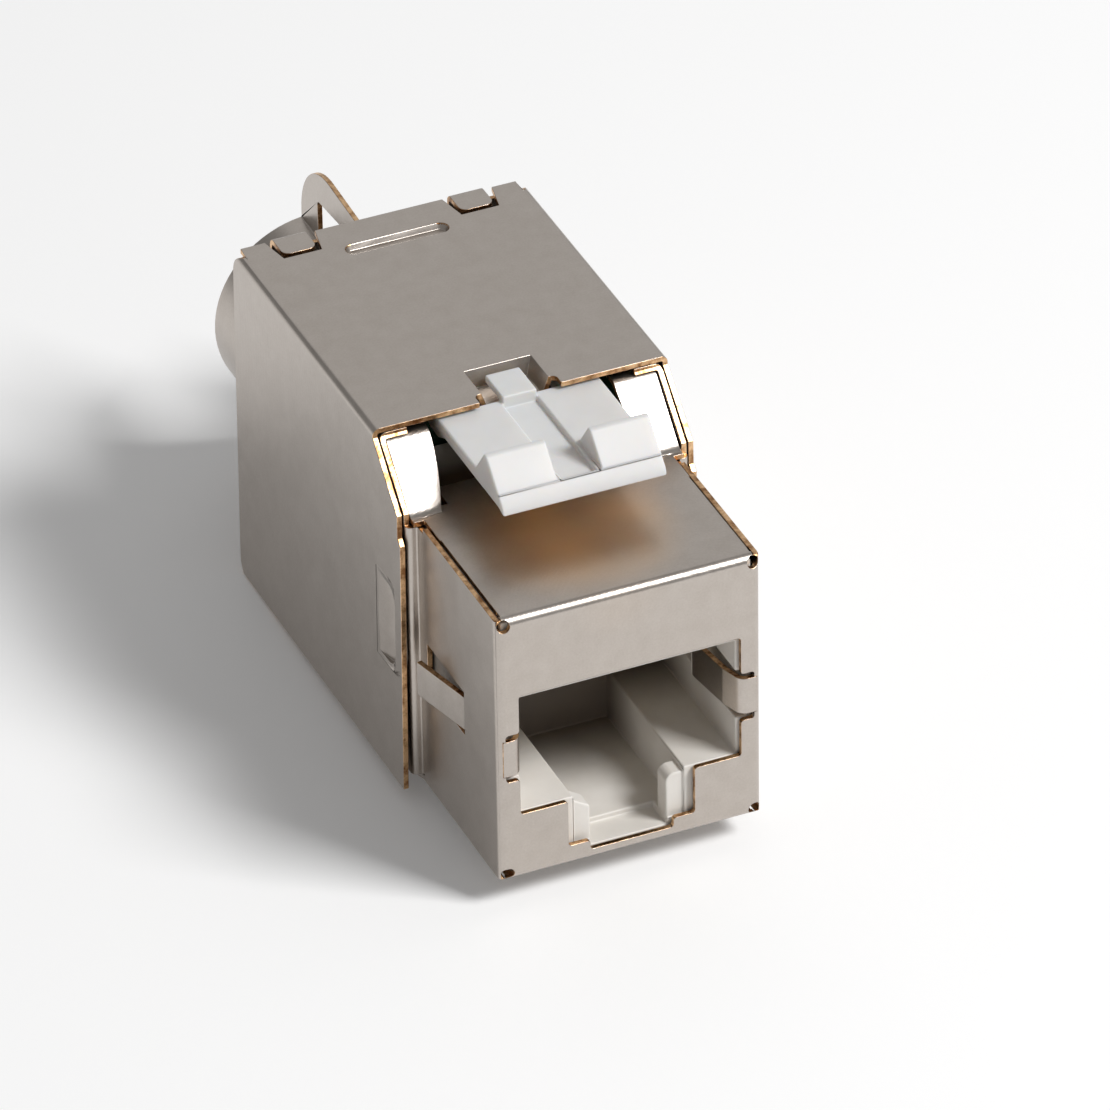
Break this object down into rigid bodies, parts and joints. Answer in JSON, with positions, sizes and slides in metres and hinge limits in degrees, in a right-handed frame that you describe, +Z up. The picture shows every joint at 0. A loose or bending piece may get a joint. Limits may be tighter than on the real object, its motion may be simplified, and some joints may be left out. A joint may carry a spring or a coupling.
{
  "type": "keystone jack",
  "caption": "Shielded keystone jack with a plug port in front, a rocking latch lever on top and a hinged rear cap with a round cable collar.",
  "frame": {"origin": "middle of the plug port in the plane of the front face", "axes": "+Y runs back along the jack towards the cable collar, +Z is up through the latch lever, the plug leaves along -Y"},
  "size_m": [0.0168, 0.0413, 0.022],
  "materials": {
    "plated_sheet": "satin nickel plating with bare bronze edges",
    "white_plastic": "satin moulded",
    "lever_plastic": "fine matt moulded",
    "gilt_wire": "polished",
    "tinned_blade": "satin",
    "board_laminate": "solder mask"
  },
  "bodies": {
    "module": {"front_shield": "plated_sheet", "rear_shell": "plated_sheet", "jack_insert": "white_plastic", "contact_carrier": "white_plastic", "contact_1": "gilt_wire", "contact_2": "gilt_wire", "contact_3": "gilt_wire", "contact_4": "gilt_wire", "contact_5": "gilt_wire", "contact_6": "gilt_wire", "contact_7": "gilt_wire", "contact_8": "gilt_wire", "circuit_board": "board_laminate", "idc_block": "white_plastic", "blade_1": "tinned_blade", "blade_2": "tinned_blade", "blade_3": "tinned_blade", "blade_4": "tinned_blade", "blade_5": "tinned_blade", "blade_6": "tinned_blade", "blade_7": "tinned_blade", "blade_8": "tinned_blade"},
    "latch": {"latch_lever": "lever_plastic"},
    "rear_door": {"rear_cap": "plated_sheet", "cable_collar": "plated_sheet", "wire_guide": "white_plastic"}
  },
  "joints": [
    {"name": "latch_press", "type": "hinge", "parent": "module", "child": "latch", "pos_m": [0, 0.0203, 0.011], "axis": [1, 0, 0], "range_deg": [0, 3.5], "stiffness_Nm_per_rad": 1.6},
    {"name": "cap_hinge", "type": "hinge", "parent": "module", "child": "rear_door", "pos_m": [0, 0.0308, 0.01195], "axis": [1, 0, 0], "range_deg": [0, 80]}
  ]
}
